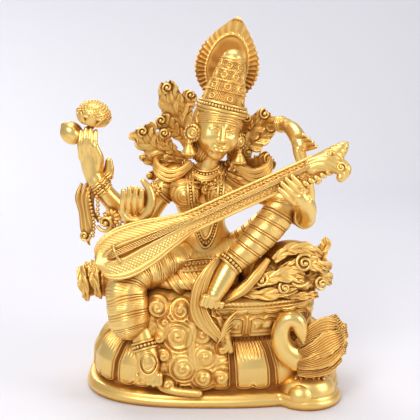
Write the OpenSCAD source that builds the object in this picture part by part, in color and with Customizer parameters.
// Seated four-armed goddess with a lute, on a double lotus throne with a swan.
// The base castings are hollow and closed by a plate. The figure's castings are solid, brazed face to face.
// The origin is on the flat underside, below the middle of the throne. Front is -Y.

/* [Base] */
// Half width of the plinth, without the swan's ledge
plinth_a = 92; // [86:1:100]
// Half depth of the plinth
plinth_b = 58; // [54:1:64]
// Thickness of the plinth rim
plinth_t = 9; // [7:0.5:12]
// Height of the lower ring of lotus petals
lotus_h = 33; // [28:1:38]
// Height of the recessed waist between the two lotus rings
waist_h = 4.5; // [4:0.5:9]
// Height of the upper ring of lotus petals
throne_h = 20.5; // [17:0.5:24]
// Thickness of the seat at its rim
seat_t = 6; // [4:0.5:8]
// Rise of the seat from its rim to its flat top
seat_rise = 7; // [5:0.5:9]
// Wall thickness of the hollow base castings
wall = 5; // [4:0.5:7]

/* [Crown and halo] */
// Height of the crown above its head band
crown_h = 40; // [34:1:46]
// Radius of the crown at its head band
crown_r = 14.5; // [13:0.5:16]
// Length of the leaf-shaped halo from stalk to tip
halo_len = 62; // [54:1:68]
// Half width of the halo
halo_w = 22.5; // [18:0.5:26]

/* [Lute] */
// Half width of the lute's bowl
bowl_w = 16.5; // [14:0.5:19]
// Width of the lute's neck
neck_w = 12; // [9:0.5:14]
// Number of frets along the neck
frets = 14; // [8:1:20]

/* [Ornament] */
// Number of petals round the lower lotus ring
petals_low = 16; // [10:1:20]
// Number of petals round the upper lotus ring
petals_high = 16; // [12:1:24]

/* [Hidden] */

brass = [0.86, 0.62, 0.22];
brass_dark = [0.62, 0.38, 0.12];
squareness = 2.7;                 // exponent of the base's rounded outline, 2 is an ellipse
lotus_z = plinth_t;
waist_z = lotus_z + lotus_h;
throne_z = waist_z + waist_h;
rim_z = throne_z + throne_h + seat_t;
seat_z = rim_z + seat_rise;
ledge = [66, -38];                // middle of the swan's round ledge
ledge_r = 24;

// ---- the figure's joints, in the seat's frame: z is 0 on the seat ----
head_at = [0, -7, 105];
head_lean = [0, 12, 14];
crown_at = [3.5, -4, 119];
crown_lean = [-7, 13, 0];
lute_tail = [-78, -51, 22];
lute_tip = [90, -44, 99];
lute_len = norm(lute_tip - lute_tail);
lute_rise = asin((lute_tip[2] - lute_tail[2]) / lute_len);
lute_yaw = atan2(lute_tip[1] - lute_tail[1], lute_tip[0] - lute_tail[0]);
lute_roll = 25;                   // how far the lute's face is turned up

// ---- curves and swept solids ----
function unit(v) = v / norm(v);
function blend4(a, b, c, d, t) =
    0.5 * (2 * b + (c - a) * t + (2 * a - 5 * b + 4 * c - d) * t * t + (3 * b - a - 3 * c + d) * t * t * t);
// A smooth curve through points of any size, steps stretches between neighbours
function smooth(p, steps = 3) = [
    for (i = [0:len(p) - 2], j = [0:steps - 1])
        blend4(p[max(i - 1, 0)], p[i], p[i + 1], p[min(i + 2, len(p) - 1)], j / steps),
    p[len(p) - 1]
];
function place(p) = [p[0], p[1], p[2]];
function heading(p, i) = unit(place(p[min(i + 1, len(p) - 1)]) - place(p[max(i - 1, 0)]));
// The base's outline at angle t: an ellipse with fuller corners
function base_edge(a, b, t) = [
    a * sign(cos(t)) * pow(abs(cos(t)), 2 / squareness),
    b * sign(sin(t)) * pow(abs(sin(t)), 2 / squareness)
];
function round_base(a, b, n) = [for (i = [0:n - 1]) base_edge(a, b, 360 * i / n)];

// Skins a list of rings, each with the same number of points, into one closed solid
module skin(rings) {
    n = len(rings[0]);
    k = len(rings);
    polyhedron(
        points = [for (r = rings) each r],
        faces = concat(
            [[for (i = [0:n - 1]) i]],
            [for (j = [0:k - 2], i = [0:n - 1])
                [j * n + i, (j + 1) * n + i, (j + 1) * n + (i + 1) % n, j * n + (i + 1) % n]],
            [[for (i = [n - 1:-1:0]) (k - 1) * n + i]]
        ),
        convexity = 6
    );
}

// A limb through points [x, y, z, radius], flattened across its up direction
module limb(points, flat = 1, up = [0, -1, 0.3], sides = 12, steps = 3) {
    p = smooth(points, steps);
    skin([
        for (i = [0:len(p) - 1])
            let (t = heading(p, i), u = unit(cross(up, t)), w = cross(t, u))
            [for (j = [0:sides - 1])
                place(p[i]) + p[i][3] * (cos(360 * j / sides) * u + flat * sin(360 * j / sides) * w)]
    ]);
}

// Stacked level ellipses, each [x, y, z, half width, half depth]
module stack(rows, sides = 24, steps = 2) {
    p = smooth(rows, steps);
    skin([
        for (r = p)
            [for (j = [0:sides - 1])
                [r[0] + r[3] * cos(360 * j / sides), r[1] + r[4] * sin(360 * j / sides), r[2]]]
    ]);
}

module ball(at, r, turn = [0, 0, 0], fn = 20) {
    translate(at) rotate(turn) scale(r) sphere(r = 1, $fn = fn);
}

module on_seat() {
    translate([0, 0, seat_z]) children();
}

// ---- base ----
// Rows of the base's walls: [height, half width, half depth]
lotus_rows = [
    [lotus_z, 84, 47], [lotus_z + 0.28 * lotus_h, 85, 48], [lotus_z + 0.65 * lotus_h, 81, 45.5],
    [waist_z, 72, 41]
];
throne_rows = [
    [throne_z, 67, 39.5], [throne_z + throne_h / 2, 71, 42.5], [throne_z + throne_h, 72, 43]
];

module wall_form(rows, in = 0, over = 0) {
    n = 60;
    last = len(rows) - 1;
    skin([
        for (i = [0:last])
            let (z = rows[i][0] + (i == 0 ? -over : i == last ? over : 0))
            [for (q = [0:n - 1])
                let (p = round_base(rows[i][1] - in, rows[i][2] - in, n)[q]) [p[0], p[1], z]]
    ]);
}

module hollow_wall(rows) {
    difference() {
        wall_form(rows);
        wall_form(rows, wall, 1);
    }
}

module plinth_outline() {
    union() {
        polygon(round_base(plinth_a, plinth_b, 72));
        translate(ledge) circle(r = ledge_r, $fn = 60);
    }
}

module plinth() {
    color(brass)
    difference() {
        linear_extrude(plinth_t) plinth_outline();
        translate([0, 0, -1])
            linear_extrude(plinth_t + 2) polygon(round_base(84 - wall, 47 - wall, 60));
    }
}

module base_plate() {
    color(brass_dark) linear_extrude(3) polygon(round_base(84 - wall, 47 - wall, 60));
}

module lotus_drum() {
    color(brass) hollow_wall(lotus_rows);
}

// A wall whose outline swells into petals; rows are [height, half width, half depth, swell]
module petal_wall(rows, count) {
    n = 6 * count;
    skin([
        for (r = rows)
            [for (q = [0:n - 1])
                let (t = 360 * q / n, swell = r[3] * pow(abs(sin(count * t / 2)), 0.7),
                     p = base_edge(r[1] + swell, r[2] + swell, t))
                [p[0], p[1], r[0]]]
    ]);
}

module lotus_petals() {
    color(brass) difference() {
        petal_wall([
            [lotus_z + 2, 82, 45, 0], [lotus_z + 6, 85.2, 48.2, 3],
            [lotus_z + 0.52 * lotus_h, 82.7, 46.4, 5],
            [lotus_z + 0.77 * lotus_h, 78.1, 43.9, 4], [waist_z - 1.5, 71.5, 40.4, 0]
        ], petals_low);
        wall_form(lotus_rows);
        cloud_form();
        right_foot_form();
    }
}

module waist_band() {
    color(brass_dark)
    difference() {
        translate([0, 0, waist_z]) linear_extrude(waist_h) polygon(round_base(66, 38.5, 60));
        translate([0, 0, waist_z - 1])
            linear_extrude(waist_h + 2) polygon(round_base(66 - wall, 38.5 - wall, 60));
    }
}

module throne_drum() {
    color(brass) hollow_wall(throne_rows);
}

module throne_petals() {
    color(brass) difference() {
        petal_wall([
            [throne_z + 1, 66, 38.8, 0], [throne_z + 4, 69.4, 41.4, 1.6],
            [throne_z + throne_h / 2, 71.8, 43.2, 2.8], [throne_z + 0.77 * throne_h, 72.4, 43.5, 2.2],
            [throne_z + throne_h - 0.5, 71, 42.2, 0]
        ], petals_high);
        wall_form(throne_rows);
        cloud_form();
        right_leg_form();
    }
}

// Rows of the seat: [height, half width, half depth]
seat_rows = [
    [throne_z + throne_h, 74, 45], [rim_z, 74, 45], [rim_z + 0.55 * seat_rise, 70, 42], [seat_z, 62, 36]
];

module seat() {
    color(brass) wall_form(seat_rows);
}

// Front relief of curling clouds: [x, z on the statue, radius, reach in front of the throne]
clouds = [
    [-32, 64, 7, -48], [-15, 66, 6.5, -48.5], [-24, 51, 10, -51], [-5, 53, 9, -51.5],
    [-6, 37, 8.5, -54], [-23, 34, 8.5, -54], [-14, 22, 8, -56], [2, 22, 7.5, -56]
];

module cloud_form() {
    for (c = clouds) {
        translate([c[0], -34, c[1]]) rotate([90, 0, 0]) cylinder(r = c[2], h = -34 - c[3], $fn = 24);
    }
}

module cloud_scrolls() {
    color(brass) difference() {
        cloud_form();
        wall_form(lotus_rows);
        wall_form(throne_rows);
        translate([0, 0, waist_z]) linear_extrude(waist_h) polygon(round_base(66, 38.5, 60));
        wall_form(seat_rows);
        translate([-150, -150, -50]) cube([300, 300, 50 + plinth_t]);
        right_leg_form();
        sash_form();
    }
}

module foliage_form() {
    on_seat() {
        ball([54, -10, 12], [20, 17, 15]);
        ball([38, -20, 6], [16, 12, 10]);
        ball([68, -10, 4], [13, 14, 14]);
        ball([60, 8, 8], [16, 14, 13]);
        ball([47, -27, 1], [24, 12, 8]);
    }
}

module foliage_scroll() {
    color(brass) difference() {
        foliage_form();
        seat_block();
        left_leg_form();
        front_left_arm_form();
    }
}

module seat_block() {
    translate([0, 0, waist_z]) linear_extrude(rim_z - waist_z) polygon(round_base(74, 45, 60));
    wall_form(seat_rows);
}

module foliage_finial() {
    color(brass) difference() {
        on_seat() limb([[71, -13, 14, 3.5], [75, -14, 20, 4.5], [77, -14, 26, 3.4], [77, -14, 29, 0.8]]);
        foliage_form();
    }
}

module bolster() {
    color(brass) difference() {
        on_seat() translate([-93, -18, 2]) rotate([0, 90, 0]) cylinder(r = 13, h = 31, $fn = 32);
        seat_block();
        right_leg_form();
        hips_form();
        wall_form(lotus_rows);
    }
}

// ---- the figure's body ----
module hips_form() {
    on_seat() stack([
        [-9, -1, 0, 34.5, 29.5], [-9, -1, 6, 35, 29.5], [-7, 1, 15, 32, 24],
        [-7, 1, 25, 22, 17], [-7, 0, 33, 15.5, 12.5]
    ]);
}

module trunk_form() {
    on_seat() stack([
        [-7, 0, 33, 15.5, 12.5], [-8, -1, 44, 17, 12.5], [-8, -2, 55, 22, 14.5], [-7, -1, 64, 25, 14.5],
        [-5, 1, 72, 27, 12], [-4, 1, 78, 17, 10], [-3, 0, 82, 8.5, 8.5], [-1, -2, 92, 7.8, 8]
    ]);
}

module torso_form() {
    trunk_form();
    on_seat() {
        ball([-19, -12, 63], [10.5, 9.5, 10.5]);
        ball([5, -12, 62], [10.5, 9.5, 10.5]);
    }
}

module hips() {
    color(brass) hips_form();
}

module torso() {
    color(brass) torso_form();
}

module waist_belt() {
    color(brass) difference() {
        on_seat() stack([[-7, 1, 15, 34, 26], [-6.5, 1, 19, 33, 24.5], [-6.5, 1, 22, 29, 22]], 24, 1);
        hips_form();
        right_leg_form();
        left_leg_form();
    }
}

// Strands over the chest: [half width, lowest height on the seat, radius]
strands = [[9, 74, 1.6], [13, 68, 1.6], [11, 28, 2]];

module necklaces() {
    color(brass) difference() {
        on_seat() for (s = strands) {
            limb([
                for (t = [-90:15:90])
                    [-5 + s[0] * sin(t), -6 - 12 * cos(t), 80 - (80 - s[1]) * cos(t), s[2]]
            ], sides = 6, steps = 1);
        }
        torso_form();
        hips_form();
    }
}

module sash_form() {
    on_seat() limb([
        [0, -38, 20, 3], [-5, -43, 14, 4.5], [-9, -47, 4, 5.5], [-10, -50, -7, 5.5],
        [-6, -51, -17, 5.5], [0, -51, -26, 4.5], [2, -51, -30, 1.5]
    ], 0.5);
}

module sash() {
    color(brass) difference() {
        sash_form();
        seat_block();
        left_foot_form();
        hips_form();
        wall_form(lotus_rows);
    }
}

module right_leg_form() {
    on_seat() limb([
        [-16, -2, 12, 15], [-34, -18, 13, 16.5], [-52, -31, 11, 15], [-59, -38, 2, 13.5],
        [-58, -41, -11, 14.2], [-56, -42, -24, 14], [-53.5, -43, -33, 13]
    ]);
}

module right_leg() {
    color(brass) difference() {
        right_leg_form();
        hips_form();
        seat_block();
        wall_form(lotus_rows);
        lute_form();
    }
}

module right_foot_form() {
    on_seat() limb([[-49, -43, -32, 7.6], [-46, -46, -40, 8], [-44, -50, -51, 8.5], [-44, -51, -61, 6.5]]);
}

module right_foot() {
    color(brass) difference() {
        right_foot_form();
        right_leg_form();
        wall_form(lotus_rows);
    }
}

module left_leg_form() {
    on_seat() {
        limb([[4, -2, 12, 14], [24, -6, 30, 15.5], [43, -13, 48, 13.5], [49, -18, 53, 9]]);
        limb([
            [50, -17, 56, 8], [46, -22, 52, 13], [30, -31, 36, 12.5], [17, -37, 24, 10], [10, -40, 18, 7.5]
        ]);
        ball([47, -18, 53], [12.5, 12.5, 12.5]);
    }
}

module left_leg() {
    color(brass) difference() {
        left_leg_form();
        hips_form();
        trunk_form();
        seat_block();
    }
}

module left_foot_form() {
    on_seat() limb([[12, -40, 19, 7], [7, -43, 11, 7.5], [3, -47, 3, 7], [0, -50, -3, 4]], 0.8);
}

module left_foot() {
    color(brass) difference() {
        left_foot_form();
        left_leg_form();
        hips_form();
        seat_block();
    }
}

// Rings worn on a limb: [place, direction, radius]
module worn_ring(at, dir, r, lift = 1.6) {
    yaw = atan2(dir[1], dir[0]);
    pitch = acos(dir[2] / norm(dir));
    translate(at) rotate([0, pitch, yaw]) rotate_extrude($fn = 36)
        translate([r, 0]) circle(r = lift, $fn = 16);
}

module anklets() {
    color(brass) difference() {
        on_seat() {
            worn_ring([-46.3, -45.7, -39], [3, -2, -8], 9);
            worn_ring([12, -39.5, 20], [-7, -3, -6], 8);
        }
        right_leg_form();
        right_foot_form();
        left_leg_form();
        left_foot_form();
        wall_form(lotus_rows);
    }
}

// ---- head, crown and halo ----
module head_form() {
    on_seat() ball(head_at, [16.2, 17.2, 20.5], head_lean, 28);
}

module head() {
    color(brass) difference() {
        head_form();
        trunk_form();
    }
}

module hair_form() {
    on_seat() limb([[0, 5, 104, 10], [-2, 8, 99, 13], [-3, 8, 90, 12], [-4, 6, 82, 8]], up = [1, 0, 0]);
}

module hair() {
    color(brass) difference() {
        hair_form();
        head_form();
        trunk_form();
    }
}

module crown_place() {
    on_seat() translate(crown_at) rotate(crown_lean) children();
}

module crown_form() {
    crown_place() rotate_extrude($fn = 40) polygon([
        [0, 0], [crown_r, 0], [crown_r, 4], [crown_r - 1.5, 6], [crown_r - 1.8, 14], [crown_r - 3.5, 16],
        [crown_r - 4, 23], [crown_r - 6, 25], [crown_r - 6.5, 31], [crown_r - 8, 33],
        [crown_r - 9, crown_h - 3], [crown_r - 12, crown_h], [0, crown_h + 1]
    ]);
}

module crown() {
    color(brass) difference() {
        crown_form();
        head_form();
        band_form();
    }
}

module band_form() {
    crown_place() translate([0, 0, -2]) rotate_extrude($fn = 40)
        polygon([[11, -2.5], [crown_r + 1.5, -2.5], [crown_r + 3, 0], [crown_r + 1.5, 3.5], [11, 3.5]]);
}

module crown_band() {
    color(brass) difference() {
        band_form();
        head_form();
    }
}

module earrings() {
    color(brass) difference() {
        on_seat() {
            translate([-19.5, -5, 101]) rotate([80, 0, -35])
                cylinder(r = 6, h = 4, center = true, $fn = 28);
            translate([-22, -6, 87]) cylinder(r1 = 5, r2 = 2, h = 8, $fn = 24);
            translate([18, -2, 103]) rotate([80, 0, 50]) cylinder(r = 6, h = 4, center = true, $fn = 28);
            translate([16, -4, 88]) cylinder(r1 = 5, r2 = 2, h = 8, $fn = 24);
        }
        head_form();
        trunk_form();
    }
}

function leaf(t) = halo_w * pow(sin(180 * pow(t, 0.8)), 0.9);

module leaf_outline(n = 20) {
    right = [for (i = [1:n - 1]) [leaf(i / n), halo_len * i / n]];
    left = [for (i = [n - 1:-1:1]) [-leaf(i / n), halo_len * i / n]];
    polygon(concat([[0, 0]], right, [[0, halo_len]], left));
}

module halo() {
    dish_r = 62;
    color(brass) difference() {
        on_seat() translate([4, 13, 122]) rotate([-6, 13, 0]) intersection() {
            rotate([90, 0, 0]) linear_extrude(30, center = true) leaf_outline();
            translate([0, -dish_r + 6, halo_len / 2]) difference() {
                sphere(r = dish_r, $fn = 72);
                sphere(r = dish_r - 3, $fn = 72);
            }
        }
        crown_form();
    }
}

// ---- arms and hands ----
module front_right_arm_form() {
    on_seat() limb([
        [-27, 1, 71, 8.5], [-38, -1, 59, 9.5], [-49, -4, 43, 8.8], [-54, -13, 37, 7.8], [-54, -25, 41, 6.2]
    ]);
}

module front_left_arm_form() {
    on_seat() limb([
        [22, 2, 71, 8.5], [37, 2, 60, 8.8], [52, 1, 49.5, 8.2], [61, -13, 45.5, 6.9], [63, -31, 49.5, 5.8]
    ]);
}

module rear_right_arm_form() {
    on_seat() limb([
        [-24, 12, 68, 8], [-43, 11, 52, 8], [-62, 5, 43, 7.8], [-73, 1, 54, 7], [-84, -1, 69, 6]
    ]);
}

module rear_left_arm_form() {
    on_seat() limb([
        [18, 12, 70, 7.5], [22, 18, 85, 6.1], [29.5, 20, 99, 5.6],
        [40, 13, 107.5, 5], [51, -4, 108.3, 4.4]
    ]);
}

module front_right_arm() {
    color(brass) difference() {
        front_right_arm_form();
        trunk_form();
    }
}

module front_left_arm() {
    color(brass) difference() {
        front_left_arm_form();
        trunk_form();
    }
}

module rear_right_arm() {
    color(brass) difference() {
        rear_right_arm_form();
        trunk_form();
        front_right_arm_form();
    }
}

module rear_left_arm() {
    color(brass) difference() {
        rear_left_arm_form();
        trunk_form();
        front_left_arm_form();
    }
}

// Fingers side by side: each from the knuckles through a bend to the tip
module fingers(base, bend, tip, across, r) {
    for (i = [-1.5:1:1.5]) {
        limb([
            concat(base + across * i, r), concat(bend + across * i, r),
            concat(tip + across * i * 0.9, r * 0.7)
        ], sides = 8, steps = 2);
    }
}

module front_right_hand() {
    color(brass) difference() {
        on_seat() {
            limb([[-54, -24, 40, 6.2], [-53, -29, 48, 8], [-52, -31, 58, 9.5], [-52, -31, 67, 7]], 0.5);
            fingers([-54.5, -34.5, 54], [-54.5, -37.5, 64], [-54, -37, 71.5], [4.1, 0, 0.4], 2.3);
            limb([
                [-55, -29, 43, 4.4], [-46, -35, 50, 3.6], [-42, -35.5, 60, 3.3], [-43, -34.5, 70, 2.8],
                [-47, -34, 75.5, 1.9]
            ], sides = 8);
        }
        front_right_arm_form();
        lute_form();
    }
}

module front_left_hand() {
    color(brass) difference() {
        on_seat() {
            limb([[63.5, -33, 51, 6.6], [63.5, -38, 57, 7.4], [61, -42, 63, 7.8], [57.5, -44.5, 69, 6.2]], 0.6);
            fingers([57.5, -46, 69], [52, -51, 75], [45.5, -51.5, 81.5], [2.4, 0, 3.4], 2.4);
            limb([[64, -40.5, 60, 2.8], [65.5, -43.5, 68, 2.7], [64, -47, 77, 1.9]], sides = 8);
        }
        front_left_arm_form();
        lute_form();
    }
}

module rear_right_hand() {
    color(brass) difference() {
        on_seat() {
            limb([[-84, -1, 69, 6.2], [-87, 0, 78, 7.6], [-88, 0, 90, 7.6], [-87, 0, 100, 6.2]], 0.7);
            fingers([-87, -3, 96], [-87, -5, 104], [-86, -3, 110], [3.6, 0, 0], 2.4);
            limb([[-80, -2, 78, 3], [-77, -4, 86, 3.2], [-79, -5, 95, 2]], sides = 8);
        }
        rear_right_arm_form();
        bloom_form();
        bud_form();
    }
}

module rear_left_hand() {
    color(brass) difference() {
        on_seat() {
            limb([[51, -4, 108.3, 4.6], [55, -11, 106, 5.4], [58, -17, 102, 6], [60, -21, 97.5, 5]], 0.6);
            fingers([60, -20, 98.5], [63.5, -24, 101], [66, -27, 102.5], [3.1, -0.3, -2.5], 2.1);
            limb([[57, -19, 98, 3], [58, -25, 93, 3], [59.5, -31, 87, 2.6]], sides = 8);
        }
        rear_left_arm_form();
        lute_form();
    }
}

module bangles() {
    color(brass) difference() {
        on_seat() {
            worn_ring([-54, -22, 40], [0, -10, 4], 7.4);
            worn_ring([62.7, -28, 49], [1, -10, 2.2], 6.7);
            worn_ring([-81, -1, 65], [-8, -1, 10], 7.4);
            worn_ring([48, 0.6, 108], [6, -9, 0.4], 5.3);
            worn_ring([-37, -1, 60], [-10, -3, -12], 10.4);
            worn_ring([36, 2, 60.5], [15, 0, -11], 9.7);
        }
        front_right_arm_form();
        front_left_arm_form();
        rear_right_arm_form();
        rear_left_arm_form();
    }
}

module bloom_form() {
    on_seat() {
        ball([-83, 0, 116], [12, 11, 9.5], [0, 14, 0]);
        limb([[-87, 0, 98, 2.4], [-86, 0, 108, 2.4], [-84, 0, 114, 2.4]], sides = 8);
    }
}

module lotus_bloom() {
    color(brass) bloom_form();
}

module bud_form() {
    on_seat() {
        ball([-99, 0, 102], [7.5, 7.5, 9], [0, -50, 0]);
        limb([[-90, 0, 92, 2.6], [-94, 0, 97, 2.6], [-98, 0, 101, 2.6]], sides = 8);
    }
}

module lotus_bud() {
    color(brass) bud_form();
}

module prayer_beads() {
    color(brass) difference() {
        on_seat() {
            limb([
                [-90, -3, 68, 4], [-93, -5, 56, 4.5], [-92, -5, 42, 4.5], [-90, -4, 28, 5], [-89, -4, 24, 2]
            ]);
            limb([[-84, -4, 64, 3], [-84, -7, 52, 4], [-82, -7, 44, 3]]);
            ball([-74, -7, 41], [9, 7, 7]);
        }
        rear_right_arm_form();
        lute_form();
    }
}

// ---- lute ----
module lute_place() {
    on_seat() translate(lute_tail) rotate([0, -lute_rise, lute_yaw]) rotate([-lute_roll, 0, 0]) children();
}

// Rows of the bowl: [distance from the tail, half width, depth behind the face]
bowl_rows = [
    [0, 3, 3], [4, 0.66 * bowl_w, 8], [12, 0.93 * bowl_w, 12], [24, bowl_w, 13.5], [38, 0.88 * bowl_w, 12],
    [52, 0.64 * bowl_w, 9.5], [66, neck_w / 2 + 1, 8], [72, neck_w / 2, 7.5]
];
face_rise = 3.5;                  // how far the bowl's face crowns in front of its edge
neck_len = 93;

module lute_bowl_form() {
    lute_place() skin([
        for (r = smooth(bowl_rows, 2))
            [for (j = [0:19])
                let (t = 18 * j) [r[0], sin(t) < 0 ? face_rise * sin(t) : r[2] * sin(t), -r[1] * cos(t)]]
    ]);
}

module lute_neck_form() {
    lute_place() translate([70, -face_rise, -neck_w / 2]) cube([neck_len, 10, neck_w]);
}

module lute_head_form() {
    lute_place() {
        limb([
            [161, 1.5, 0, 6.5], [168, 1.5, 0.5, 7], [174, 1.5, -2, 6.8], [177, 1.5, -8, 6],
            [173, 1.5, -12, 4.6], [169, 1.5, -11, 3]
        ], 0.8);
        limb([[170, 1.5, 2, 5], [177, 1.5, 3.5, 4], [184, 1.5, 4, 1.2]], 0.8);
    }
}

module lute_form() {
    lute_bowl_form();
    lute_neck_form();
}

module lute_bowl() {
    color(brass) difference() {
        lute_bowl_form();
        lute_neck_form();
    }
}

module lute_neck() {
    color(brass) lute_neck_form();
}

module lute_frets() {
    color(brass_dark)
    lute_place() for (i = [0:frets - 1]) {
        translate([76 + (neck_len - 12) * i / frets, -face_rise - 1.5, -neck_w / 2 + 1.5])
            cube([2, 1.5, neck_w - 3]);
    }
}

module lute_bridge() {
    color(brass_dark) difference() {
        lute_place() translate([14, -face_rise - 4, -7]) cube([4, 7, 14]);
        lute_bowl_form();
    }
}

module lute_head() {
    color(brass) difference() {
        lute_head_form();
        lute_neck_form();
    }
}

module lute_pegs() {
    color(brass)
    lute_place() for (i = [0:3]) {
        translate([138 + 6.5 * i, 1.5, -neck_w / 2 - 6]) cylinder(r = 1.6, h = 6, $fn = 24);
    }
}

// ---- scarf ends flying behind the shoulders ----
module scarf_right() {
    color(brass) difference() {
        on_seat() {
            limb([
                [-14, 13, 84, 5], [-22, 13, 100, 10], [-29, 12, 118, 11],
                [-33, 11, 133, 6], [-33, 11, 139, 1]
            ], 0.4);
            limb([
                [-16, 12, 80, 5], [-32, 12, 90, 7], [-44, 11, 100, 9], [-49, 10, 110, 6], [-47, 10, 114, 1]
            ], 0.4);
            limb([[-20, 10, 76, 5], [-36, 9, 80, 5], [-50, 8, 82, 4.5], [-57, 8, 84, 1]], 0.5);
        }
        trunk_form();
        hair_form();
        rear_right_arm_form();
        front_right_arm_form();
        head_form();
    }
}

module scarf_left() {
    color(brass) difference() {
        on_seat() {
            limb([
                [12, 14, 88, 6], [23, 14, 100, 10], [32, 14, 108, 9], [39, 13, 116, 5], [41, 13, 120, 1]
            ], 0.4);
            limb([
                [10, 14, 78, 6], [24, 13, 78, 8], [36, 12, 82, 8], [44, 11, 88, 4], [46, 11, 91, 1]
            ], 0.4);
        }
        trunk_form();
        hair_form();
        rear_left_arm_form();
        front_left_arm_form();
        head_form();
    }
}

// ---- swan, in the plinth's frame: z is 0 on the plinth ----
module on_plinth() {
    translate([0, 0, plinth_t]) children();
}

module mound_form() {
    on_plinth() ball([ledge[0], ledge[1] - 5, 0], [19, 15, 11]);
}

module swan_mound() {
    color(brass) difference() {
        mound_form();
        translate([-150, -150, -50]) cube([300, 300, 50 + plinth_t]);
        wall_form(lotus_rows);
    }
}

module swan_body_form() {
    on_plinth() ball([70, -42, 28], [18, 12, 12], [0, -14, 0]);
}

module swan_legs() {
    color(brass) difference() {
        on_plinth() for (x = [61, 73]) {
            limb([[x, -44, 6, 4.5], [x, -43, 12, 2.8], [x + 1, -42, 20, 3.4]], sides = 10);
        }
        mound_form();
        swan_body_form();
    }
}

module swan_body() {
    color(brass) difference() {
        swan_body_form();
        wall_form(lotus_rows);
    }
}

module swan_neck() {
    color(brass) difference() {
        on_plinth() {
            limb([
                [58, -45, 25, 9], [50, -47, 31, 8], [46.5, -48, 40, 6.8], [48, -48, 49, 6.3],
                [53, -48.5, 54.5, 6], [58.5, -49, 52, 5.8], [61, -50, 45, 4.8], [62.5, -50.5, 37, 1.5]
            ], sides = 12);
        }
        swan_body_form();
        wall_form(lotus_rows);
        wall_form(throne_rows);
    }
}

module swan_wing() {
    color(brass) difference() {
        on_plinth() {
            limb([[62, -50, 28, 4], [71, -48, 32, 10], [80, -43, 37, 9], [87, -38, 41, 4]], 0.5);
        }
        swan_body_form();
        wall_form(lotus_rows);
    }
}

module swan_tail() {
    color(brass) difference() {
        on_plinth() {
            limb([[76, -38, 30, 8], [82, -34, 38, 9], [85, -31, 45, 6], [84, -30, 48, 2]], 0.6);
            limb([[80, -38, 26, 7], [88, -32, 28, 7], [95, -28, 28, 2]], 0.6);
        }
        swan_body_form();
        wall_form(lotus_rows);
        wall_form(throne_rows);
        on_plinth() limb([[62, -50, 28, 4], [71, -48, 32, 10], [80, -43, 37, 9], [87, -38, 41, 4]], 0.5);
    }
}

plinth();
base_plate();
lotus_drum();
lotus_petals();
waist_band();
throne_drum();
throne_petals();
seat();
cloud_scrolls();
foliage_scroll();
foliage_finial();
bolster();
hips();
torso();
waist_belt();
necklaces();
sash();
right_leg();
right_foot();
left_leg();
left_foot();
anklets();
head();
hair();
earrings();
crown();
crown_band();
halo();
front_right_arm();
front_right_hand();
front_left_arm();
front_left_hand();
rear_right_arm();
rear_right_hand();
rear_left_arm();
rear_left_hand();
bangles();
lotus_bloom();
lotus_bud();
prayer_beads();
lute_bowl();
lute_neck();
lute_frets();
lute_bridge();
lute_head();
lute_pegs();
scarf_right();
scarf_left();
swan_mound();
swan_legs();
swan_body();
swan_neck();
swan_wing();
swan_tail();
